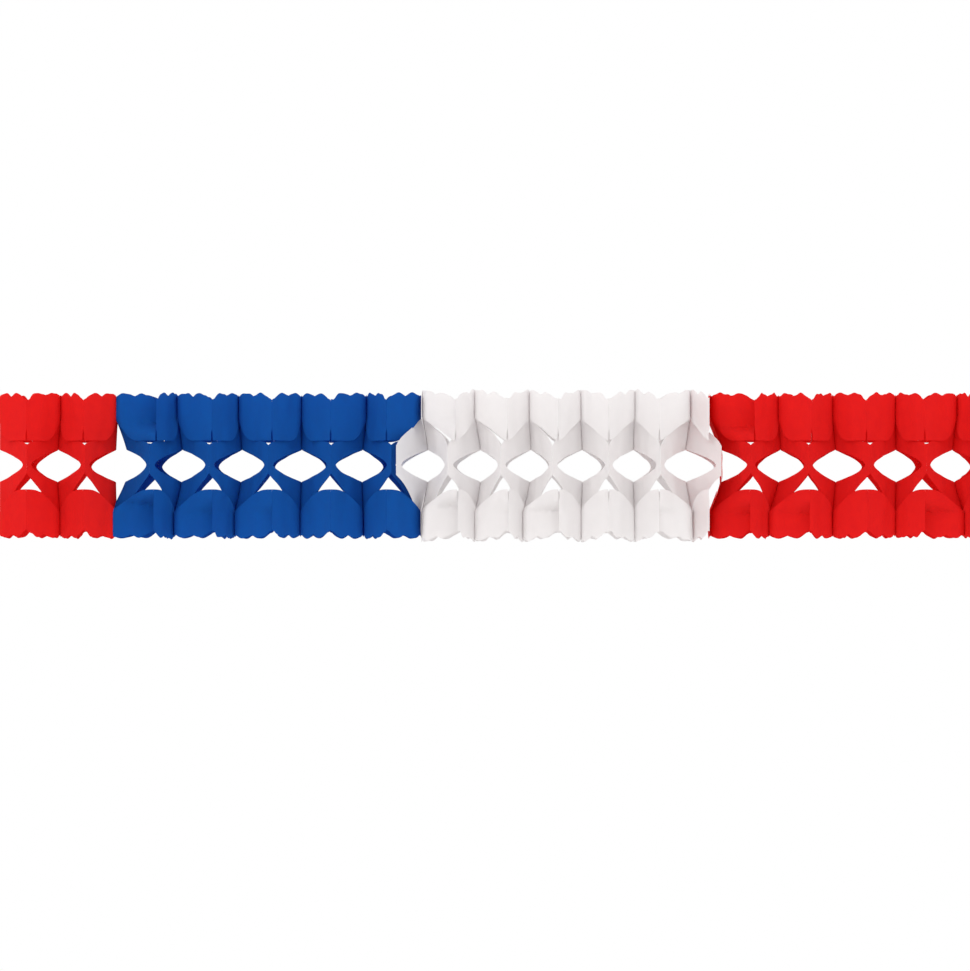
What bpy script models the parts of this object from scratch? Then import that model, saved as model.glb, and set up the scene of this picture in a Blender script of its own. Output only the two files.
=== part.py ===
"""Pull-out tissue paper garland in red, blue, white and red.

The garland is a row of identical die-cut tissue sheets that stand across its length. A sheet is a ring
round a central hole with four scalloped petals, two above and two below, and a slit parts each petal from
the ring. Every sheet is glued to one neighbour along its upright centre line and to its other neighbour at
the tips of its petals and at the front and back of its ring. Pulled out, each sheet bends from its centre
line towards its tips, so the petals puff into two rows of lobes and the rings open into a row of lozenges.

X runs along the garland, Y from front to back and Z is up. Lengths are in metres. The origin is the middle
of the garland.
"""

import math
from typing import NamedTuple

import bmesh
import bpy

# The flat sheet
HALF_HEIGHT = 0.080
HALF_WIDTH = 0.0575
GLUE_STRIP = 0.0064
HOLE_HALF_HEIGHT = 0.018
HOLE_HALF_LENGTH = 0.049
SLIT_ROOT_HEIGHT = 0.050
SLIT_WIDTH = 0.0006
PETAL_CORNER_HEIGHT = 0.026
RING_CORNER_HEIGHT = 0.0115
SCALLOP_DEPTH = 0.003
TIP_NOTCH_DEPTH = 0.009
SCALLOPS = 3

# How the cut lines of the flat sheet curve, as powers of the distance from its centre line
PETAL_EDGE_POWER = 1.5
CORNER_POWER = 8
HOLE_POWER = 1.3
SLIT_OPENS_OVER = 0.25

# The paper as it stands here, and the room left for glue between two sheets
PAPER = 0.0004
GLUE_GAP = 0.0003

# How far the tips of a sheet are pulled from its centre line. Where the white block meets another colour
# the petals aren't glued together, so those sheets have reaches of their own.
COLOURED_REACH = 0.03155
WHITE_REACH = 0.0273
WHITE_LAST_RING_REACH = 0.0280
WHITE_LAST_PETAL_REACH = 0.0215
LOOSE_PETAL_REACH = 0.0020
RED_FIRST_PETAL_REACH = 0.0060

# How soon the paper turns away from its centre line
RING_TURN_LENGTH = 0.016
PETAL_TURN_LENGTH = HALF_WIDTH - GLUE_STRIP

# Sheets of each colour along the garland
LEFT_RED_SHEETS = 4
BLUE_SHEETS = 10
WHITE_SHEETS = 12
RIGHT_RED_SHEETS = 11

PATH_STEPS = 240
STEEPEST_HEADING = math.radians(110)
HEADING_HALVINGS = 40

# Where the facets of a sheet begin and end, as distances from its centre line on the flat sheet
PETAL_COLUMNS = [0.0, GLUE_STRIP] + [HALF_WIDTH * (i + 1) / SCALLOPS for i in range(SCALLOPS)]
RING_COLUMNS = [0.0, GLUE_STRIP, (GLUE_STRIP + HOLE_HALF_LENGTH) / 2, HOLE_HALF_LENGTH, HALF_WIDTH]

COLOURS = {
    "red": (0.765, 0.016, 0.012),
    "blue": (0.007, 0.074, 0.309),
    "white": (0.855, 0.839, 0.823),
}


class Sheet(NamedTuple):
    """One tissue sheet. Its tips point to +X with side 1, or to -X with side -1."""

    name: str
    colour: str
    side: int
    petal_reach: float
    ring_reach: float


def clear_scene():
    for old in list(bpy.data.objects):
        bpy.data.objects.remove(old)


def tissue(colour):
    material = bpy.data.materials.new(f"{colour}_tissue")
    material.use_nodes = True
    shader = material.node_tree.nodes["Principled BSDF"]
    shader.inputs["Base Color"].default_value = (*COLOURS[colour], 1.0)
    shader.inputs["Roughness"].default_value = 0.85
    shader.inputs["Metallic"].default_value = 0.0
    return material


def walk(distance, end_heading, turn_length):
    """Where a point of the paper lies once bent, as (along the garland, towards the front).

    The paper leaves its centre line square to the garland, stays flat over the glue strip and then turns
    evenly until its heading is end_heading, after turn_length. Its length never changes.
    """
    along, forward = 0.0, min(distance, GLUE_STRIP)
    step = max(distance - GLUE_STRIP, 0.0) / PATH_STEPS
    for i in range(PATH_STEPS):
        heading = end_heading * min((i + 0.5) * step / turn_length, 1.0)
        along += step * math.sin(heading)
        forward += step * math.cos(heading)
    return along, forward


def heading_for(reach, turn_length):
    """The end heading with which the tip lies at reach from the centre line, by halving an interval."""
    low, high = 0.0, STEEPEST_HEADING
    for _ in range(HEADING_HALVINGS):
        middle = (low + high) / 2
        if walk(HALF_WIDTH, middle, turn_length)[0] < reach:
            low = middle
        else:
            high = middle
    return low


def share_of_slit(distance):
    return max(distance - GLUE_STRIP, 0.0) / (HALF_WIDTH - GLUE_STRIP)


def petal_inner_edge(distance):
    """Falls from the root of the slit to the petal's corner, less and less steeply."""
    rise = SLIT_ROOT_HEIGHT - PETAL_CORNER_HEIGHT
    return PETAL_CORNER_HEIGHT + rise * (1 - share_of_slit(distance)) ** PETAL_EDGE_POWER


def ring_outer_edge(distance):
    """Follows the petal across the slit, and falls away from it at the front and back of the ring."""
    share = share_of_slit(distance)
    slit = SLIT_WIDTH * min(share / SLIT_OPENS_OVER, 1.0)
    fall = PETAL_CORNER_HEIGHT - SLIT_WIDTH - RING_CORNER_HEIGHT
    return petal_inner_edge(distance) - slit - fall * share**CORNER_POWER


def hole_edge(distance):
    """The hole is a lozenge with rounded sides, closed from HOLE_HALF_LENGTH on."""
    share = min(distance / HOLE_HALF_LENGTH, 1.0)
    return HOLE_HALF_HEIGHT * (1 - share**HOLE_POWER)


def scalloped_edge(distance):
    """A row of scallops, and a deeper notch at the tip."""
    share = distance / HALF_WIDTH
    scallop = SCALLOP_DEPTH * (1 - abs(math.sin(math.pi * SCALLOPS * share)))
    return HALF_HEIGHT - scallop - TIP_NOTCH_DEPTH * share**CORNER_POWER


def bent_grid(sheet, columns, low_edge, high_edge, end_heading, turn_length):
    """One row of facets between two edges of the flat sheet, laid along the bent paper.

    Returns the points of the high edge, by their column.
    """
    last = len(columns) - 1
    grid = bmesh.ops.create_grid(sheet, x_segments=last, y_segments=1, size=0.5)
    high = {}
    for vertex in grid["verts"]:
        column = round((vertex.co.x + 0.5) * last)
        edge = low_edge
        if vertex.co.y > 0:
            edge = high_edge
            high[column] = vertex
        along, forward = walk(columns[column], end_heading, turn_length)
        vertex.co = (along, forward, edge(columns[column]))
    return high


def cut_scallops(sheet, outer):
    """Adds the crown of each scallop, half way between two columns on the petal's outer edge."""
    for i in range(1, len(outer) - 1):
        edge = sheet.edges.get((outer[i], outer[i + 1]))
        _, crown = bmesh.utils.edge_split(edge, outer[i], 0.5)
        distance = (PETAL_COLUMNS[i] + PETAL_COLUMNS[i + 1]) / 2
        crown.co.z = scalloped_edge(distance)


def sheet_mesh(name, petal_reach, ring_reach):
    """A quarter of a sheet, from its centre line to its front tips and from the axis upwards."""
    petal_heading = heading_for(petal_reach, PETAL_TURN_LENGTH)
    ring_heading = heading_for(ring_reach, RING_TURN_LENGTH)
    sheet = bmesh.new()
    outer = bent_grid(
        sheet, PETAL_COLUMNS, petal_inner_edge, scalloped_edge, petal_heading, PETAL_TURN_LENGTH
    )
    cut_scallops(sheet, outer)
    bent_grid(sheet, RING_COLUMNS, hole_edge, ring_outer_edge, ring_heading, RING_TURN_LENGTH)
    bmesh.ops.remove_doubles(sheet, verts=sheet.verts, dist=PAPER / 10)
    bmesh.ops.triangulate(sheet, faces=sheet.faces)
    bmesh.ops.recalc_face_normals(sheet, faces=sheet.faces)
    mesh = bpy.data.meshes.new(name)
    sheet.to_mesh(mesh)
    sheet.free()
    return mesh


def place_sheet(collection, sheet, mesh, material, centre_line):
    obj = bpy.data.objects.new(sheet.name, mesh)
    collection.objects.link(obj)
    if not mesh.materials:
        mesh.materials.append(material)
    obj.location.x = centre_line
    obj.rotation_euler.z = 0.0 if sheet.side > 0 else math.pi
    mirror = obj.modifiers.new("four quarters", "MIRROR")
    mirror.use_axis = (False, True, True)
    mirror.merge_threshold = 0.00005
    paper = obj.modifiers.new("paper", "SOLIDIFY")
    paper.thickness = PAPER
    paper.offset = 0.0
    return obj


def special_reaches():
    """The petal and ring reach of the three sheets where the white block starts and ends."""
    return {
        "white_sheet_01": (LOOSE_PETAL_REACH, WHITE_REACH),
        f"white_sheet_{WHITE_SHEETS:02d}": (WHITE_LAST_PETAL_REACH, WHITE_LAST_RING_REACH),
        "red_right_sheet_01": (RED_FIRST_PETAL_REACH, 0.0),
    }


def sheet_plan():
    """Every sheet, from left to right."""
    groups = [
        ("red_left", "red", LEFT_RED_SHEETS, COLOURED_REACH, 1),
        ("blue", "blue", BLUE_SHEETS, COLOURED_REACH, 1),
        ("white", "white", WHITE_SHEETS, WHITE_REACH, -1),
        ("red_right", "red", RIGHT_RED_SHEETS, COLOURED_REACH, -1),
    ]
    special = special_reaches()
    plan = []
    for group, colour, count, reach, first_side in groups:
        for i in range(count):
            name = f"{group}_sheet_{i + 1:02d}"
            side = first_side if i % 2 == 0 else -first_side
            plan.append(Sheet(name, colour, side, *special.get(name, (reach, reach))))
    return plan


def centre_lines(plan):
    """The X of each sheet's centre line.

    Sheets meet back to back, tip to tip or, where a block of colour ends, face to face, always with room for
    the paper and its glue.
    """
    lines = [0.0]
    for before, after in zip(plan, plan[1:]):
        step = PAPER + GLUE_GAP
        if before.side > 0 and after.side < 0:
            step += before.ring_reach + after.ring_reach
        lines.append(lines[-1] + step)
    middle = (lines[0] + lines[-1]) / 2
    return [x - middle for x in lines]


def main():
    clear_scene()
    collection = bpy.data.collections.new("tissue_paper_garland")
    bpy.context.scene.collection.children.link(collection)
    tissues = {colour: tissue(colour) for colour in COLOURS}
    meshes = {}
    plan = sheet_plan()
    for sheet, line in zip(plan, centre_lines(plan)):
        shape = (sheet.colour, sheet.petal_reach, sheet.ring_reach)
        if shape not in meshes:
            meshes[shape] = sheet_mesh(f"{sheet.colour}_sheet", sheet.petal_reach, sheet.ring_reach)
        place_sheet(collection, sheet, meshes[shape], tissues[sheet.colour], line)


main()
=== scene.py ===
"""Looks of a pull-out tissue paper garland in blocks of red, blue, white and red.

Every sheet of the garland is one fine surface, worked out with numpy from the flat die-cut sheet and from
how the paper bends between its glue lines, and given its thickness. Each one stands for the CAD node of the
same sheet. Lengths are in metres. X runs along the garland, -Y is its front and Z is up.
"""

from __future__ import annotations

import logging
import math
from dataclasses import dataclass, field, replace
from enum import Enum

import bpy
import numpy as np
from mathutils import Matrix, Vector

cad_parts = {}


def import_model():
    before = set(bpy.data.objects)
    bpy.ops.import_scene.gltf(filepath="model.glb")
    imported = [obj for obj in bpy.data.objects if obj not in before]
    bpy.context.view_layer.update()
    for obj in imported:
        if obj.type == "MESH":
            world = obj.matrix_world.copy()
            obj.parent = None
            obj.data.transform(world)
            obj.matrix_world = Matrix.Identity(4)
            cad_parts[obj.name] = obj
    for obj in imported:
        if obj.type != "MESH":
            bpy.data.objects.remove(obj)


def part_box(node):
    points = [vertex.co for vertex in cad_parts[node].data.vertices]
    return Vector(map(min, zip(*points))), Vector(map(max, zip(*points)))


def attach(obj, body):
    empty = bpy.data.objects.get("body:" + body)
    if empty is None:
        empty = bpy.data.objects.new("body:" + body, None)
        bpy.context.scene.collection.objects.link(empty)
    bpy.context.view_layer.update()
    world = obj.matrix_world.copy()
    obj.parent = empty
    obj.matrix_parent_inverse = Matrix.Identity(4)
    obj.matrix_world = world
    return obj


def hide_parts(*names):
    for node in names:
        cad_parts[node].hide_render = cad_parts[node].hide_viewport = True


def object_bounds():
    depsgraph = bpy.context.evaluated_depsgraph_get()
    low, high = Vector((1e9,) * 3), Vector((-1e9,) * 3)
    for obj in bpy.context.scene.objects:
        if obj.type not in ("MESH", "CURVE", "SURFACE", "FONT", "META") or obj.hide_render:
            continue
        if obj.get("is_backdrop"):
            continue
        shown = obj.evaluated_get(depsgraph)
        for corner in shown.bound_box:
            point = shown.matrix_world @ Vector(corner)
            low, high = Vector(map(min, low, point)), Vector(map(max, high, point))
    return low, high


LOG = logging.getLogger("garland")
MM = 0.001

# The photo's pixels, and the real length that one of them shows
PHOTO_SCALE = 1.067 * MM
PHOTO_WIDTH = 970
PHOTO_HEIGHT = 971


class Colour(Enum):
    """The colours of tissue in the garland, each with its material slot."""

    RED = "red_tissue"
    BLUE = "blue_tissue"
    WHITE = "white_tissue"


class Part(Enum):
    """The two parts of a sheet, which a slit lets bend apart."""

    PETAL = "petal"
    RING = "ring"


def linear(hex_colour: str) -> tuple[float, float, float, float]:
    """Turns an sRGB hex colour into linear RGBA.

    Args:
        hex_colour: Six hex digits, such as "e4221a".

    Returns:
        The linear red, green, blue and an alpha of 1.
    """
    values = [int(hex_colour[i : i + 2], 16) / 255 for i in (0, 2, 4)]
    curve = [v / 12.92 if v <= 0.04045 else ((v + 0.055) / 1.055) ** 2.4 for v in values]
    return (curve[0], curve[1], curve[2], 1.0)


def add_node(
    tree: bpy.types.NodeTree, kind: str, settings: dict | None = None, **sockets: object
) -> bpy.types.Node:
    """Adds a shader node.

    Args:
        tree: The node tree it goes in.
        kind: The node's type name.
        settings: Attributes of the node itself.
        **sockets: Inputs by name, with _ for a blank. A value that is an output socket is linked.

    Returns:
        The new node.
    """
    node = tree.nodes.new(kind)
    for name, value in (settings or {}).items():
        setattr(node, name, value)
    for name, value in sockets.items():
        socket = node.inputs[name.replace("_", " ")]
        if isinstance(value, bpy.types.NodeSocket):
            tree.links.new(value, socket)
        else:
            socket.default_value = value
    return node


@dataclass(frozen=True)
class TissuePaper:
    """Thin, unglazed tissue of loose, dyed fibres, so it is matt, cloudy and lets light through."""

    name: str
    face: str
    cloud: str
    glow: str
    light_through: float

    # Real fibres are thinner than a tenth of a millimetre. These are drawn as coarse as it takes to show.
    fibre_size: float = 1.4 * MM
    fibre_share: float = 0.35
    fibre_relief: float = 0.15 * MM
    cloud_size: float = 9 * MM
    cloud_from: float = 0.45
    cloud_full_at: float = 0.9
    crease_width: float = 3.2 * MM
    crease_length: float = 45 * MM
    crease_relief: float = 0.5 * MM
    roughness: float = 0.92
    specular: float = 0.15

    def make(self) -> bpy.types.Material:
        """Makes the material.

        Fibres and clouds vary the colour a little, long upright creases and fibres raise the surface, and a
        translucent share lets the light of one side glow on the other.

        Returns:
            The material.
        """
        material = bpy.data.materials.new(self.name)
        material.use_nodes = True
        tree = material.node_tree
        tree.nodes.clear()
        place = add_node(tree, "ShaderNodeTexCoord").outputs["Object"]
        clouds = add_node(
            tree, "ShaderNodeTexNoise", Vector=place, Scale=1 / self.cloud_size, Detail=3.0, Roughness=0.6
        )
        fibres = add_node(
            tree, "ShaderNodeTexNoise", Vector=place, Scale=1 / self.fibre_size, Detail=2.0, Roughness=0.7
        )
        stretch = (1 / self.crease_width, 1 / self.crease_width, 1 / self.crease_length)
        upright = add_node(tree, "ShaderNodeMapping", Vector=place, Scale=stretch).outputs["Vector"]
        creases = add_node(tree, "ShaderNodeTexNoise", Vector=upright, Scale=1.0, Detail=2.0, Roughness=0.5)
        mixed = add_node(tree, "ShaderNodeMath", {"operation": "MULTIPLY_ADD"})
        tree.links.new(fibres.outputs["Fac"], mixed.inputs[0])
        mixed.inputs[1].default_value = self.fibre_share
        tree.links.new(clouds.outputs["Fac"], mixed.inputs[2])
        spread = add_node(
            tree,
            "ShaderNodeMapRange",
            Value=mixed.outputs["Value"],
            From_Min=self.cloud_from,
            From_Max=self.cloud_full_at,
        )
        shade = add_node(tree, "ShaderNodeMix", {"data_type": "RGBA"}, Factor=spread.outputs["Result"])
        shade.inputs[6].default_value = linear(self.face)
        shade.inputs[7].default_value = linear(self.cloud)
        crease_bump = add_node(
            tree,
            "ShaderNodeBump",
            Strength=0.25,
            Distance=self.crease_relief,
            Height=creases.outputs["Fac"],
        )
        bump = add_node(
            tree,
            "ShaderNodeBump",
            Strength=0.2,
            Distance=self.fibre_relief,
            Height=fibres.outputs["Fac"],
            Normal=crease_bump.outputs["Normal"],
        )
        surface = add_node(
            tree,
            "ShaderNodeBsdfPrincipled",
            Base_Color=shade.outputs[2],
            Roughness=self.roughness,
            Specular_IOR_Level=self.specular,
            Normal=bump.outputs["Normal"],
        )
        through = add_node(tree, "ShaderNodeBsdfTranslucent", Color=linear(self.glow))
        both = add_node(tree, "ShaderNodeMixShader", Fac=self.light_through)
        tree.links.new(surface.outputs["BSDF"], both.inputs[1])
        tree.links.new(through.outputs["BSDF"], both.inputs[2])
        output = add_node(tree, "ShaderNodeOutputMaterial")
        tree.links.new(both.outputs["Shader"], output.inputs["Surface"])
        return material


# The dyes: the red is nearly even, the blue glows violet where light comes through it, and the white has
# the faint warmth of bleached paper
TISSUES = {
    Colour.RED: TissuePaper(
        name="dyed_tissue_red", face="ec2220", cloud="e41f21", glow="f62220", light_through=0.4
    ),
    Colour.BLUE: TissuePaper(
        name="dyed_tissue_blue", face="0f5cae", cloud="1358a8", glow="4a3cd0", light_through=0.38
    ),
    Colour.WHITE: TissuePaper(
        name="bleached_tissue_white", face="f5f2f2", cloud="f2efef", glow="f9f7f7", light_through=0.42
    ),
}


@dataclass(frozen=True)
class Stray:
    """How far a glue line strays along the garland from its even place: above, at and below the axis."""

    above: float = 0.0
    axis: float = 0.0
    below: float = 0.0
    reaches_full_at: float = 50 * MM
    sharpness: float = 1.4

    def at(self, height: np.ndarray) -> np.ndarray:
        """The stray at each height: the axis value, turning into the outer one by a power of the height.

        Args:
            height: Signed heights from the axis.

        Returns:
            The stray along the garland at each of them.
        """
        share = np.clip(np.abs(height) / self.reaches_full_at, 0.0, 1.0) ** self.sharpness
        outer = np.where(height > 0, self.above, self.below)
        return self.axis + (outer - self.axis) * share


@dataclass(frozen=True)
class DieCut:
    """The cut lines of the flat sheet, as heights above its middle for a distance from its centre line."""

    half_width: float = 57.5 * MM
    glue_strip: float = 3.0 * MM

    # Where the bent paper starts to turn past its glue strip, and over what length
    petal_hold: float = 8 * MM
    petal_turn: float = 12 * MM
    ring_turn: float = 5 * MM

    # The scalloped outer edge
    crest: float = 79.5 * MM
    valley_notch: float = 0.0
    valley_notch_power: float = 7.0
    tip_notch: float = 9 * MM
    tip_notch_power: float = 5.0
    scallops: int = 3
    scallop_depth: float = 3.2 * MM
    scallop_shift: float = 0.06

    # The hole
    hole_half_height: float = 18.3 * MM
    hole_half_length: float = 50 * MM
    hole_power: float = 0.62

    # The slit between petal and ring. A shape is the power of its shoulder and the power of its fall.
    slit_root: float = 53 * MM
    slit_width: float = 0.4 * MM
    slit_full_at: float = 0.25
    slit_gap_below: float = 0.0
    petal_corner: float = 26 * MM
    petal_shape_above: tuple[float, float] = (3.0, 30.0)
    petal_shape_below: tuple[float, float] = (2.0, 4.0)
    ring_shape_above: tuple[float, float] = (3.0, 30.0)
    ring_corner_above: float = 21 * MM
    ring_power_above: float = 9.0
    ring_corner_below: float = 9 * MM
    ring_power_below: float = 3.0

    def slit_share(self, distance: np.ndarray) -> np.ndarray:
        """The share of the slit's length that lies within a distance of the centre line."""
        return np.clip(distance - self.glue_strip, 0.0, None) / (self.half_width - self.glue_strip)

    def slit_edge(self, distance: np.ndarray, shape: tuple[float, float]) -> np.ndarray:
        """An edge of the slit: a rounded shoulder at the slit's root, then a fall to the petal's corner.

        The height over the corner is (1 - share^a)^b of the whole rise, with the shape's a and b.

        Args:
            distance: Distances from the centre line.
            shape: The powers a of the shoulder and b of the fall.

        Returns:
            The edge's height at each distance.
        """
        shoulder, fall = shape
        rise = self.slit_root - self.petal_corner
        return self.petal_corner + rise * (1 - self.slit_share(distance) ** shoulder) ** fall

    def petal_inner(self, distance: np.ndarray, above: bool) -> np.ndarray:
        """The petal's edge towards the axis."""
        return self.slit_edge(distance, self.petal_shape_above if above else self.petal_shape_below)

    def ring_outer(self, distance: np.ndarray, above: bool) -> np.ndarray:
        """The ring's outer edge: the slit's edge less its width, falling away at the front and back.

        The fall is a power of the share of the slit, and ends at the ring's corner.

        Args:
            distance: Distances from the centre line.
            above: Whether it is the ring's half above the axis.

        Returns:
            The edge's height at each distance.
        """
        share = self.slit_share(distance)
        corner = self.ring_corner_above if above else self.ring_corner_below
        power = self.ring_power_above if above else self.ring_power_below
        edge = self.slit_edge(distance, self.ring_shape_above if above else self.petal_shape_below)
        slit = self.slit_width * np.clip(share / self.slit_full_at, 0.0, 1.0)
        fall = (self.petal_corner - self.slit_width - corner) * share**power
        return edge - slit - fall

    def hole(self, distance: np.ndarray) -> np.ndarray:
        """The hole's edge: a power of what is left of its half length, highest at the centre line."""
        left = 1 - np.clip(distance / self.hole_half_length, 0.0, 1.0)
        return self.hole_half_height * left**self.hole_power

    def scalloped(self, distance: np.ndarray) -> np.ndarray:
        """The outer edge: a crest with a notch at the centre line and one at the tip, and scallops between.

        The scallops are the absolute value of a sine, so they meet in points, and each notch is a power of
        the share of the half width.

        Args:
            distance: Distances from the centre line.

        Returns:
            The edge's height at each distance.
        """
        share = distance / self.half_width
        scallop = 1 - np.abs(np.sin(np.pi * self.scallops * (share + self.scallop_shift)))
        valley = self.valley_notch * (1 - share) ** self.valley_notch_power
        tip = self.tip_notch * share**self.tip_notch_power
        return self.crest - valley - self.scallop_depth * scallop - tip


@dataclass(frozen=True)
class Bend:
    """How one part of a sheet turns from its centre line towards its tips.

    The paper leaves the centre line square to the garland and stays flat over the glue strip and its hold.
    It then turns evenly over turn_length and runs on straight. With T for turn_length and t for the heading
    at its end, a length u into the turn has gone T/t * (1 - cos(t*u/T)) along the garland and
    T/t * sin(t*u/T) towards the front, and what is left past the turn adds sin t and cos t of its length.
    """

    cut: DieCut
    hold: float
    turn_length: float
    lowest_heading: float = 0.02
    highest_heading: float = math.radians(92)
    halvings: int = 30

    def walk(
        self, distance: np.ndarray, heading: np.ndarray
    ) -> tuple[np.ndarray, np.ndarray, np.ndarray]:
        """Where the paper is at a distance from its centre line.

        Args:
            distance: Distances from the centre line.
            heading: The heading after the turn, in radians.

        Returns:
            The way along the garland, the way towards the front past the strip, and the heading there.
        """
        past = np.clip(distance - self.cut.glue_strip, 0.0, None)
        held = np.minimum(past, self.hold)
        turned = np.minimum(past - held, self.turn_length)
        straight = past - held - turned
        here = heading * turned / self.turn_length
        radius = self.turn_length / heading
        along = radius * (1 - np.cos(here)) + straight * np.sin(heading)
        forward = held + radius * np.sin(here) + straight * np.cos(heading)
        return along, forward, here

    def heading_for(self, reach: np.ndarray) -> np.ndarray:
        """The heading with which the tip lies at each reach, by halving an interval.

        Args:
            reach: How far along the garland the tips lie from the centre line.

        Returns:
            The heading after the turn for each of them, in radians.
        """
        low = np.full_like(reach, self.lowest_heading)
        high = np.full_like(reach, self.highest_heading)
        tip = np.full_like(reach, self.cut.half_width)
        for _ in range(self.halvings):
            middle = (low + high) / 2
            short = self.walk(tip, middle)[0] < reach
            low = np.where(short, middle, low)
            high = np.where(short, high, middle)
        return low

    def tip_depth(self, reach: np.ndarray) -> np.ndarray:
        """How far towards the front the tip lies past the strip, for each reach."""
        return self.walk(np.full_like(reach, self.cut.half_width), self.heading_for(reach))[1]


@dataclass(frozen=True)
class Crumple:
    """Soft dents of handled paper: a sum of upright cosine waves with seeded directions and phases."""

    seed: int
    depth: float = 0.5 * MM
    waves: int = 6
    shortest: float = 15 * MM
    longest: float = 42 * MM
    upright: float = 2.2
    widest_turn: float = 0.7

    def at(self, across: np.ndarray, height: np.ndarray) -> np.ndarray:
        """The dent at each point of the flat sheet.

        It is the sum of the waves over the square root of their number, times the depth. The loop runs over
        the waves, each of them a whole array.

        Args:
            across: Signed distances from the centre line.
            height: Signed heights from the axis.

        Returns:
            The dents, square to the sheet.
        """
        random = np.random.default_rng(self.seed)
        length = random.uniform(self.shortest, self.longest, self.waves)
        turn = random.uniform(-self.widest_turn, self.widest_turn, self.waves)
        phase = random.uniform(0, 2 * np.pi, self.waves)
        total = np.zeros(np.broadcast(across, height).shape)
        for i in range(self.waves):
            place = across * np.cos(turn[i]) + height * np.sin(turn[i]) / self.upright
            total += np.cos(2 * np.pi * place / length[i] + phase[i])
        return total * self.depth / math.sqrt(self.waves)


@dataclass(frozen=True)
class Valley:
    """The upright line where two sheets are glued back to back: its even X and how it strays from it."""

    place: float
    stray: Stray

    def at(self, height: np.ndarray) -> np.ndarray:
        """The X of the line at each height."""
        return self.place + self.stray.at(height)


@dataclass(frozen=True)
class TipLine:
    """The line where two sheets' tips meet, or loose tips end: its even X and how it strays from it."""

    place: float
    stray: Stray
    back_shift: float = 0.0

    def at(self, height: np.ndarray, front: np.ndarray, part: Part) -> np.ndarray:
        """The X of the tips: the ring's, or the petals' above and below, moved by the shift at the back.

        Args:
            height: Signed heights from the axis.
            front: Whether each point is on the front half of the sheet.
            part: The part whose tips they are.

        Returns:
            The X at each point.
        """
        petals = np.where(height > 0, self.stray.above, self.stray.below)
        stray = petals if part is Part.PETAL else np.full_like(height, self.stray.axis)
        return self.place + stray + np.where(front, 0.0, self.back_shift)


@dataclass(frozen=True)
class LooseTips:
    """Tips that aren't joined in pairs: how far they lie from the even centre line, and how far forward."""

    petal: float
    ring: float
    furthest_petal: float = 60 * MM
    petal_depth: float = 44 * MM
    ring_depth: float = 44 * MM

    def depth(self, part: Part) -> float:
        """How far in front of the glue strip the tips of a part lie."""
        return self.petal_depth if part is Part.PETAL else self.ring_depth

    def furthest(self, part: Part) -> float:
        """The most that the tips of a part reach from the leaning centre line."""
        return self.furthest_petal if part is Part.PETAL else math.inf


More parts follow.
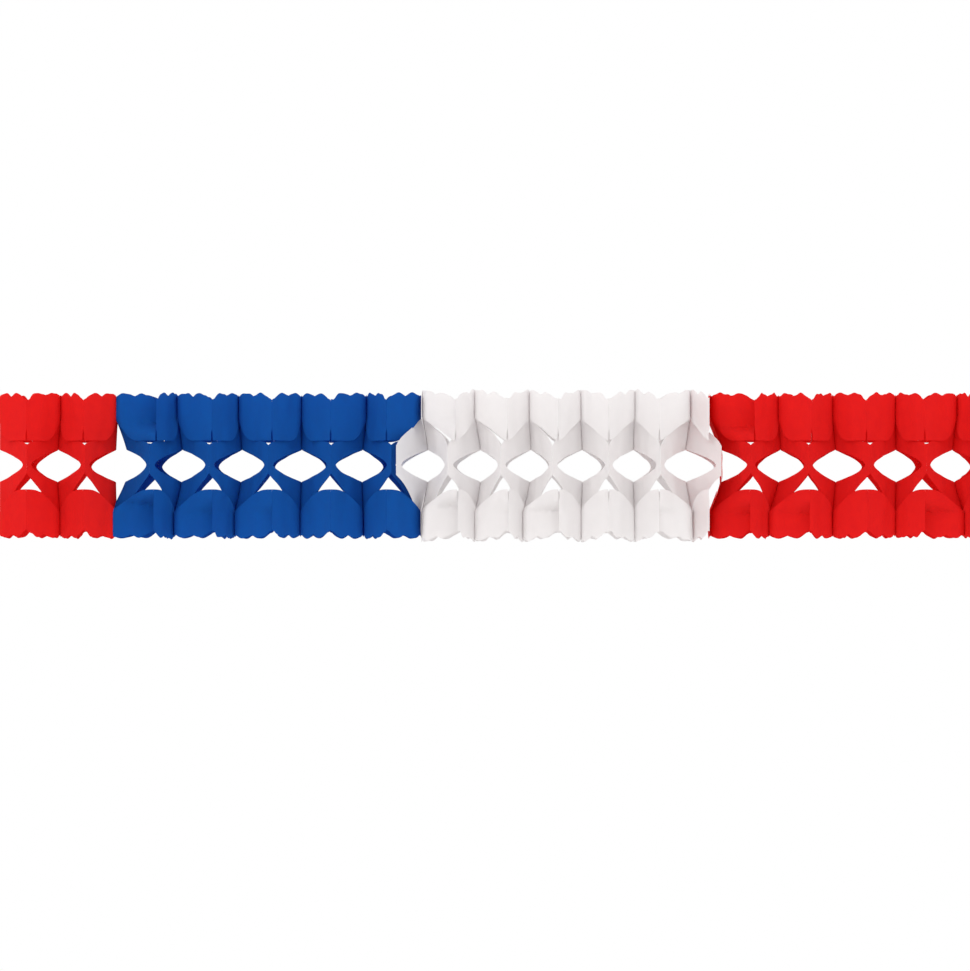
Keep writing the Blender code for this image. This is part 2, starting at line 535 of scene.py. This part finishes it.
@dataclass
class TissueSheet:
    """One die-cut sheet, bent from its centre line to its tips.

    The side is 1 where its tips point to +X and -1 where they point to -X. Its partner is the centre line of
    the sheet that its tips are glued to, and a sheet without one has loose tips.
    """

    name: str
    colour: Colour
    side: int
    centre: Valley
    cut: DieCut
    seed: int
    tips: TipLine | None = None
    partner: Valley | None = None
    loose: LooseTips | None = None
    glue_gap: float = 0.3 * MM
    thickness: float = 0.16 * MM

    # The front tips of two glued petals part a little near the slit
    slit_gap_above: float = 1.6 * MM
    slit_top: float = 38 * MM
    slit_opens_over: float = 4 * MM

    # How short a reach can be, and how much the paper may give so that two unequal tips meet
    least_reach: float = 0.5 * MM
    least_stretch: float = 0.7
    most_stretch: float = 1.25

    # The outer edge is ragged past the petal's hold, and a little lower on some sheets
    ragged_depth: float = 0.6 * MM
    ragged_seed_above: int = 7
    ragged_seed_below: int = 11
    height_seed: int = 500
    lowest_share: float = 0.99

    # The grid, and how it is finished
    strip_columns: int = 2
    hole_columns: int = 28
    tip_columns: int = 6
    petal_rows: int = 14
    ring_rows: int = 10
    seam_digits: int = 7
    sharp_angle: float = math.radians(50)

    def bend(self, part: Part) -> Bend:
        """How a part of this sheet bends: the ring turns at once, the petals only well in front."""
        if part is Part.RING:
            return Bend(self.cut, 0.0, self.cut.ring_turn)
        return Bend(self.cut, self.cut.petal_hold, self.cut.petal_turn)

    def reach(self, height: np.ndarray, front: np.ndarray, part: Part) -> np.ndarray:
        """How far the tips lie from the centre line, along the garland.

        Args:
            height: Signed heights from the axis.
            front: Whether each point is on the front half of the sheet.
            part: The part whose tips they are.

        Returns:
            The reach at each point, never less than the least one.
        """
        reach = self.side * (self.tips.at(height, front, part) - self.centre.at(height))
        if part is Part.PETAL:
            opens = np.clip((self.slit_top - np.abs(height)) / self.slit_opens_over, 0.0, 1.0)
            gap = np.where(height > 0, self.slit_gap_above, self.cut.slit_gap_below)
            reach = reach - np.where(front, gap / 2 * opens, 0.0)
        if self.loose is not None:
            reach = np.minimum(reach, self.loose.furthest(part))
        return np.maximum(reach, self.least_reach)

    def stretch(self, bend: Bend, height: np.ndarray, tip_forward: np.ndarray) -> np.ndarray:
        """How much the paper gives towards the front, so that it meets its partner's tips.

        Both aim for the depth that the tips would have half way between the two centre lines.

        Args:
            bend: How the part bends.
            height: Signed heights from the axis.
            tip_forward: How far forward the tips lie past the strip by their own reach.

        Returns:
            The factor at each point.
        """
        half_span = np.abs(self.partner.at(height) - self.centre.at(height)) / 2
        return np.clip(bend.tip_depth(half_span) / tip_forward, self.least_stretch, self.most_stretch)

    def place(self, across: np.ndarray, height: np.ndarray, part: Part) -> np.ndarray:
        """Bends points of the flat sheet into their place.

        Args:
            across: Signed distance from the centre line, positive to the front.
            height: Signed height from the axis.
            part: The part that the points belong to.

        Returns:
            An array of XYZ places, one row a point.
        """
        bend = self.bend(part)
        distance = np.abs(across)
        front = across >= 0
        reach = self.reach(height, front, part)
        heading = bend.heading_for(reach)
        along, forward, here = bend.walk(distance, heading)
        tip_along, tip_forward, _ = bend.walk(np.full_like(distance, self.cut.half_width), heading)
        along = along * reach / tip_along
        dent = 0.0
        if self.loose is None:
            forward = forward * self.stretch(bend, height, tip_forward)
            dent = Crumple(self.seed).at(across, height) * np.sin(np.pi * self.cut.slit_share(distance))
        else:
            forward = forward * self.loose.depth(part) / tip_forward
        along = along + dent * np.cos(here)
        forward = forward - dent * np.sin(here) + np.minimum(distance, self.cut.glue_strip)
        x = self.centre.at(height) + self.side * (along + (self.thickness - self.glue_gap) / 2)
        y = np.where(front, -forward, forward)
        return np.stack([x, y, height], axis=-1).reshape(-1, 3)

    def across_grid(self) -> np.ndarray:
        """The columns: signed distances from the centre line, from the back tip to the front tip.

        Returns:
            The distances, closer together in the glue strip and past the hole.
        """
        strip, hole, tip = self.cut.glue_strip, self.cut.hole_half_length, self.cut.half_width
        inner = np.linspace(0, strip, self.strip_columns + 1)[1:]
        middle = np.linspace(strip, hole, self.hole_columns + 1)[1:]
        outer = np.linspace(hole, tip, self.tip_columns + 1)[1:]
        half = np.concatenate([inner, middle, outer])
        return np.concatenate([-half[::-1], [0.0], half])

    def outer_edge(self, across: np.ndarray, above: bool) -> np.ndarray:
        """The scalloped outer edge with small seeded waves, which grow over the petal's turn.

        Args:
            across: Signed distances from the centre line.
            above: Whether it is the edge above the axis.

        Returns:
            The edge's height at each distance.
        """
        seed = self.seed + (self.ragged_seed_above if above else self.ragged_seed_below)
        waves = Crumple(seed, self.ragged_depth, waves=4, shortest=7 * MM, longest=14 * MM)
        distance = np.abs(across)
        grown = np.clip((distance - self.cut.petal_hold) / self.cut.petal_turn, 0.0, 1.0)
        return self.cut.scalloped(distance) + waves.at(across, 0 * across) * grown

    def patch(
        self, part: Part, above: bool, across: np.ndarray, low: np.ndarray, high: np.ndarray, rows: int
    ) -> tuple[np.ndarray, np.ndarray]:
        """One of the sheet's four surfaces: even rows from a low edge to a high one.

        Args:
            part: The part it belongs to.
            above: Whether it is above the axis.
            across: Signed distances of the columns from the centre line.
            low: Distance of the edge nearer to the axis, by column.
            high: Distance of the edge further from the axis, by column.
            rows: How many rows of quads.

        Returns:
            The points and the quads, which face the way that the sheet's tips point.
        """
        rise = np.linspace(0, 1, rows + 1)[:, None]
        height = (1 if above else -1) * (low + (high - low) * rise)
        index = np.arange(height.size).reshape(height.shape)
        corners = [index[:-1, :-1], index[:-1, 1:], index[1:, 1:], index[1:, :-1]]
        if above == (self.side > 0):
            corners.reverse()
        points = self.place(np.broadcast_to(across, height.shape), height, part)
        return points, np.stack(corners, axis=-1).reshape(-1, 4)

    def surface(self) -> tuple[np.ndarray, np.ndarray]:
        """The four surfaces of the sheet: petals and ring above and below the axis.

        Returns:
            The points and the quads.
        """
        across = self.across_grid()
        distance = np.abs(across)
        random = np.random.default_rng(self.seed + self.height_seed)
        points, quads, count = [], [], 0
        for above in (True, False):
            crest = self.outer_edge(across, above) * random.uniform(self.lowest_share, 1.0)
            spans = (
                (Part.PETAL, self.cut.petal_inner(distance, above), crest, self.petal_rows),
                (Part.RING, self.cut.hole(distance), self.cut.ring_outer(distance, above), self.ring_rows),
            )
            for part, low, high, rows in spans:
                patch_points, patch_quads = self.patch(part, above, across, low, high, rows)
                points.append(patch_points)
                quads.append(patch_quads + count)
                count += len(patch_points)
        return np.concatenate(points), np.concatenate(quads)

    def build(self) -> bpy.types.Object:
        """Makes the sheet's mesh, merges its seams and gives it its thickness.

        Returns:
            The finished piece.
        """
        points, quads = self.surface()
        rounded = np.round(points, self.seam_digits)
        _, first, same = np.unique(rounded, axis=0, return_index=True, return_inverse=True)
        flat = bpy.data.meshes.new("flat")
        flat.from_pydata(points[first], [], same.reshape(-1)[quads])
        flat.validate()
        flat.polygons.foreach_set("use_smooth", np.ones(len(flat.polygons), dtype=bool))
        piece = bpy.data.objects.new(f"{self.name}_tissue", flat)
        bpy.context.scene.collection.objects.link(piece)
        paper = piece.modifiers.new("paper", "SOLIDIFY")
        paper.thickness = self.thickness
        paper.offset = 0.0
        evaluated = piece.evaluated_get(bpy.context.evaluated_depsgraph_get())
        thick = bpy.data.meshes.new_from_object(evaluated)
        piece.modifiers.clear()
        piece.data = thick
        bpy.data.meshes.remove(flat)
        thick.name = piece.name
        thick.set_sharp_from_angle(angle=self.sharp_angle)
        return piece

    def dress(self, piece: bpy.types.Object, material: bpy.types.Material) -> None:
        """Gives the piece its tissue and ties it to its CAD node.

        Args:
            piece: The finished piece.
            material: The tissue of its colour.
        """
        piece.data.materials.clear()
        piece.data.materials.append(material)
        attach(piece, "root")
        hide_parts(self.name)
        LOG.info("%s: %d faces, %s", self.name, len(piece.data.polygons), self.colour.name.lower())


def stray(above: float, axis: float, below: float) -> Stray:
    """How far a glue line strays, measured on the photo in its pixels, as lengths."""
    return Stray(above * PHOTO_SCALE, axis * PHOTO_SCALE, below * PHOTO_SCALE)


@dataclass
class Block:
    """One run of sheets of one colour.

    The valleys and the tips say how each centre line and each line of joined tips strays, from the left.
    """

    group: str
    colour: Colour
    count: int
    first_side: int
    cut: DieCut
    valleys: tuple[Stray, ...]
    tips: tuple[Stray, ...]
    seed: int
    loose: dict[str, LooseTips] = field(default_factory=dict)
    own_cuts: dict[str, DieCut] = field(default_factory=dict)
    back_squeeze: float = 0.045

    def make_sheets(self) -> list[TissueSheet]:
        """Makes the block's sheets where the CAD has them, each with its centre line.

        Two neighbours share a valley. Where the first sheet's tips point to +X, it has the first valley to
        itself.

        Returns:
            The sheets, from left to right, with their tips.
        """
        alone = 1 if self.first_side > 0 else 0
        sheets = []
        for i in range(self.count):
            name = f"{self.group}_sheet_{i + 1:02d}"
            low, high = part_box(name)
            side = self.first_side if i % 2 == 0 else -self.first_side
            centre = Valley(low.x if side > 0 else high.x, self.valleys[(i + alone) // 2])
            cut = self.own_cuts.get(name, self.cut)
            sheets.append(TissueSheet(name, self.colour, side, centre, cut, self.seed + i))
        self.join_tips(sheets)
        self.free_tips(sheets)
        return sheets

    def join_tips(self, sheets: list[TissueSheet]) -> None:
        """Joins the sheets that face each other at their tips, half way between their valleys.

        At the back the tips lie nearer to the block's middle, by the squeeze.

        Args:
            sheets: The block's sheets, from left to right.
        """
        middle = (sheets[0].centre.place + sheets[-1].centre.place) / 2
        strays = iter(self.tips)
        for left, right in zip(sheets, sheets[1:]):
            if left.side > 0 and right.side < 0:
                place = (left.centre.place + right.centre.place) / 2
                line = TipLine(place, next(strays), self.back_squeeze * (middle - place))
                left.tips = right.tips = line
                left.partner, right.partner = right.centre, left.centre

    def free_tips(self, sheets: list[TissueSheet]) -> None:
        """Gives the sheets whose tips aren't joined the reach of their own.

        Args:
            sheets: The block's sheets, from left to right.
        """
        for sheet in sheets:
            if sheet.name in self.loose:
                sheet.loose = self.loose[sheet.name]
                petal, ring = sheet.side * sheet.loose.petal, sheet.side * sheet.loose.ring
                sheet.tips = TipLine(sheet.centre.place, Stray(petal, ring, petal))

    def build(self, material: bpy.types.Material) -> None:
        """Builds and dresses every sheet of the block."""
        for sheet in self.make_sheets():
            sheet.dress(sheet.build(), material)


COLOURED_CUT = DieCut(crest=77.5 * MM, valley_notch=5 * MM, tip_notch=6.5 * MM, tip_notch_power=10)
WHITE_CUT = DieCut(
    petal_hold=14 * MM,
    petal_turn=10 * MM,
    crest=81.5 * MM,
    tip_notch_power=3.0,
    slit_gap_below=1.4 * MM,
    petal_shape_above=(2.0, 1.5),
    petal_shape_below=(2.0, 3.0),
    ring_shape_above=(1.0, 1.0),
    ring_corner_above=20 * MM,
    ring_corner_below=11 * MM,
    ring_power_below=2.5,
)

# The last blue sheet, whose upper petals are cut back beside the white ring
LAST_BLUE_CUT = replace(COLOURED_CUT, petal_shape_above=(2.5, 5.7))

BLOCKS = (
    Block(
        group="red_left",
        colour=Colour.RED,
        count=4,
        first_side=1,
        cut=COLOURED_CUT,
        valleys=(stray(0, 0, 0), stray(0.8, -3, 0), stray(-3, -5, -4)),
        tips=(stray(-1.6, -1, -1.6), stray(-5.4, -4, -5.4)),
        seed=100,
    ),
    Block(
        group="blue",
        colour=Colour.BLUE,
        count=10,
        first_side=1,
        cut=COLOURED_CUT,
        valleys=(
            stray(-5, 9, -11),
            stray(-3.4, 2.6, -6.9),
            stray(-2.8, 1.2, -6.8),
            stray(-0.3, -0.3, -1.8),
            stray(3.8, -0.7, 0.8),
            stray(-2, -2, -2),
        ),
        tips=(
            stray(6.7, 0.2, 4),
            stray(1.7, -1, 2.2),
            stray(1, -2.5, 1),
            stray(-1, -0.5, -1),
            stray(-5.9, -1, -5.9),
        ),
        seed=200,
        own_cuts={"blue_sheet_10": LAST_BLUE_CUT},
    ),
    Block(
        group="white",
        colour=Colour.WHITE,
        count=12,
        first_side=-1,
        cut=WHITE_CUT,
        valleys=(
            stray(-1, 6, -2),
            stray(-0.9, 6, -0.9),
            stray(0.6, 3, -5.4),
            stray(-0.4, 1.6, 0),
            stray(0.6, -0.4, 0.5),
            stray(4, -1.9, 6),
        ),
        tips=(
            stray(5.9, -2.1, 8),
            stray(4.8, -1.7, 5.9),
            stray(2.9, -2.9, 3.7),
            stray(0.9, 0.7, 0.7),
            stray(-1.3, -0.2, -1.3),
        ),
        seed=300,
        loose={
            "white_sheet_01": LooseTips(
                petal=2.5 * MM,
                ring=28.7 * MM,
                furthest_petal=1 * MM,
                petal_depth=28 * MM,
                ring_depth=53 * MM,
            ),
            "white_sheet_12": LooseTips(petal=23.6 * MM, ring=36.4 * MM),
        },
    ),
    Block(
        group="red_right",
        colour=Colour.RED,
        count=11,
        first_side=-1,
        cut=COLOURED_CUT,
        valleys=(
            stray(-4, 11, -4),
            stray(4, 7, -5.5),
            stray(-2.3, 1.7, -2.3),
            stray(0, 1.2, 0),
            stray(0.8, -4, 8),
            stray(0, 0, 0),
        ),
        tips=(
            stray(9.6, 5.6, 5),
            stray(5.9, 2.6, 3.7),
            stray(0, 3.5, 1.3),
            stray(-2.5, -1, -2),
            stray(-6, -4, -2),
        ),
        seed=400,
        loose={
            "red_right_sheet_01": LooseTips(
                petal=5 * MM,
                ring=-7.5 * MM,
                furthest_petal=1 * MM,
                petal_depth=40 * MM,
                ring_depth=38 * MM,
            )
        },
    ),
)


@dataclass(frozen=True)
class SoftLamp:
    """A square soft lamp that points at the garland's middle."""

    name: str
    place: tuple[float, float, float]
    power: float
    size: float = 2.2

    def hang(self) -> None:
        """Hangs the lamp in its place."""
        light = bpy.data.lights.new(self.name, "AREA")
        light.shape = "SQUARE"
        light.size = self.size
        light.energy = self.power
        lamp = bpy.data.objects.new(self.name, light)
        bpy.context.scene.collection.objects.link(lamp)
        lamp.location = self.place
        lamp.rotation_euler = Vector(self.place).to_track_quat("Z", "Y").to_euler()


@dataclass
class Studio:
    """A pale floor well below the garland, soft lamps and the camera of the photo."""

    half_length: float
    floor_drop: float = 1.0
    floor_size: float = 9.0
    floor_paint: str = "f4f4f2"
    floor_white: float = 0.8
    distance: float = 9.0
    elevation: float = math.radians(-1.5)
    sensor: float = 36.0
    sight: float = 100.0
    axis_pixel: float = 466.0
    ambient: float = 1.16
    lamps: tuple[SoftLamp, ...] = (
        SoftLamp("left_front_lamp", (-2.0, -2.8, 1.8), 20.0),
        SoftLamp("right_front_lamp", (2.6, -2.2, 0.8), 8.0),
    )

    def floor(self) -> None:
        """Lays the floor, nearly white to the camera apart from the garland's faint shadow."""
        bpy.ops.mesh.primitive_plane_add(size=self.floor_size, location=(0, 0, -self.floor_drop))
        plane = bpy.context.object
        plane.name = "floor"
        material = bpy.data.materials.new("painted_floor")
        material.use_nodes = True
        tree = material.node_tree
        tree.nodes.clear()
        paint = add_node(tree, "ShaderNodeBsdfDiffuse", Color=linear(self.floor_paint))
        bright = add_node(tree, "ShaderNodeEmission", Color=linear("ffffff"), Strength=1.0)
        share = add_node(tree, "ShaderNodeMath", {"operation": "MULTIPLY"})
        tree.links.new(self.seen_directly(tree), share.inputs[0])
        share.inputs[1].default_value = self.floor_white
        both = add_node(tree, "ShaderNodeMixShader", Fac=share.outputs["Value"])
        tree.links.new(paint.outputs["BSDF"], both.inputs[1])
        tree.links.new(bright.outputs["Emission"], both.inputs[2])
        output = add_node(tree, "ShaderNodeOutputMaterial")
        tree.links.new(both.outputs["Shader"], output.inputs["Surface"])
        plane.data.materials.append(material)
        plane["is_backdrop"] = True

    def seen_directly(self, tree: bpy.types.NodeTree) -> bpy.types.NodeSocket:
        """Tells what the camera, a reflection or a transmission sees from what only lights the scene.

        Args:
            tree: The node tree that the nodes go in.

        Returns:
            A socket that is 1 for what is seen and 0 for lighting.
        """
        path = add_node(tree, "ShaderNodeLightPath")
        first = add_node(tree, "ShaderNodeMath", {"operation": "MAXIMUM"})
        tree.links.new(path.outputs["Is Camera Ray"], first.inputs[0])
        tree.links.new(path.outputs["Is Glossy Ray"], first.inputs[1])
        both = add_node(tree, "ShaderNodeMath", {"operation": "MAXIMUM"})
        tree.links.new(first.outputs["Value"], both.inputs[0])
        tree.links.new(path.outputs["Is Transmission Ray"], both.inputs[1])
        return both.outputs["Value"]

    def world(self) -> None:
        """Makes the white surroundings: plain white where seen, and a little stronger as a light."""
        world = bpy.data.worlds.new("white_studio")
        bpy.context.scene.world = world
        world.use_nodes = True
        tree = world.node_tree
        tree.nodes.clear()
        seen = self.seen_directly(tree)
        strength = add_node(tree, "ShaderNodeMapRange", Value=seen, To_Min=self.ambient, To_Max=1.0)
        sky = add_node(
            tree, "ShaderNodeBackground", Color=linear("ffffff"), Strength=strength.outputs["Result"]
        )
        output = add_node(tree, "ShaderNodeOutputWorld")
        tree.links.new(sky.outputs["Background"], output.inputs["Surface"])

    def camera(self) -> None:
        """Sets the camera straight on from a little below, far off as through a long lens.

        It looks at the point that the photo's middle pixel shows, and the photo's height fills its sensor.
        """
        target = Vector(
            (
                PHOTO_WIDTH / 2 * PHOTO_SCALE - self.half_length,
                0.0,
                (self.axis_pixel - PHOTO_HEIGHT / 2) * PHOTO_SCALE,
            )
        )
        data = bpy.data.cameras.new("camera")
        camera = bpy.data.objects.new("camera", data)
        bpy.context.scene.collection.objects.link(camera)
        way = Vector((0, -math.cos(self.elevation), math.sin(self.elevation)))
        camera.location = target + way * self.distance
        camera.rotation_euler = way.to_track_quat("Z", "Y").to_euler()
        data.sensor_width = self.sensor
        data.lens = self.sensor * self.distance / (PHOTO_HEIGHT * PHOTO_SCALE)
        data.clip_end = self.sight
        bpy.context.scene.camera = camera

    def build(self) -> None:
        """Builds the whole studio."""
        self.floor()
        self.world()
        for lamp in self.lamps:
            lamp.hang()
        self.camera()
        bpy.context.scene.view_settings.view_transform = "Standard"


def main() -> None:
    """Builds the blocks and the studio."""
    logging.basicConfig(level=logging.INFO, format="%(message)s")
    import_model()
    cad_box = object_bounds()
    tissues = {colour: paper.make() for colour, paper in TISSUES.items()}
    for block in BLOCKS:
        block.build(tissues[block.colour])
    Studio(half_length=cad_box[1].x).build()


if __name__ == "__main__":
    main()
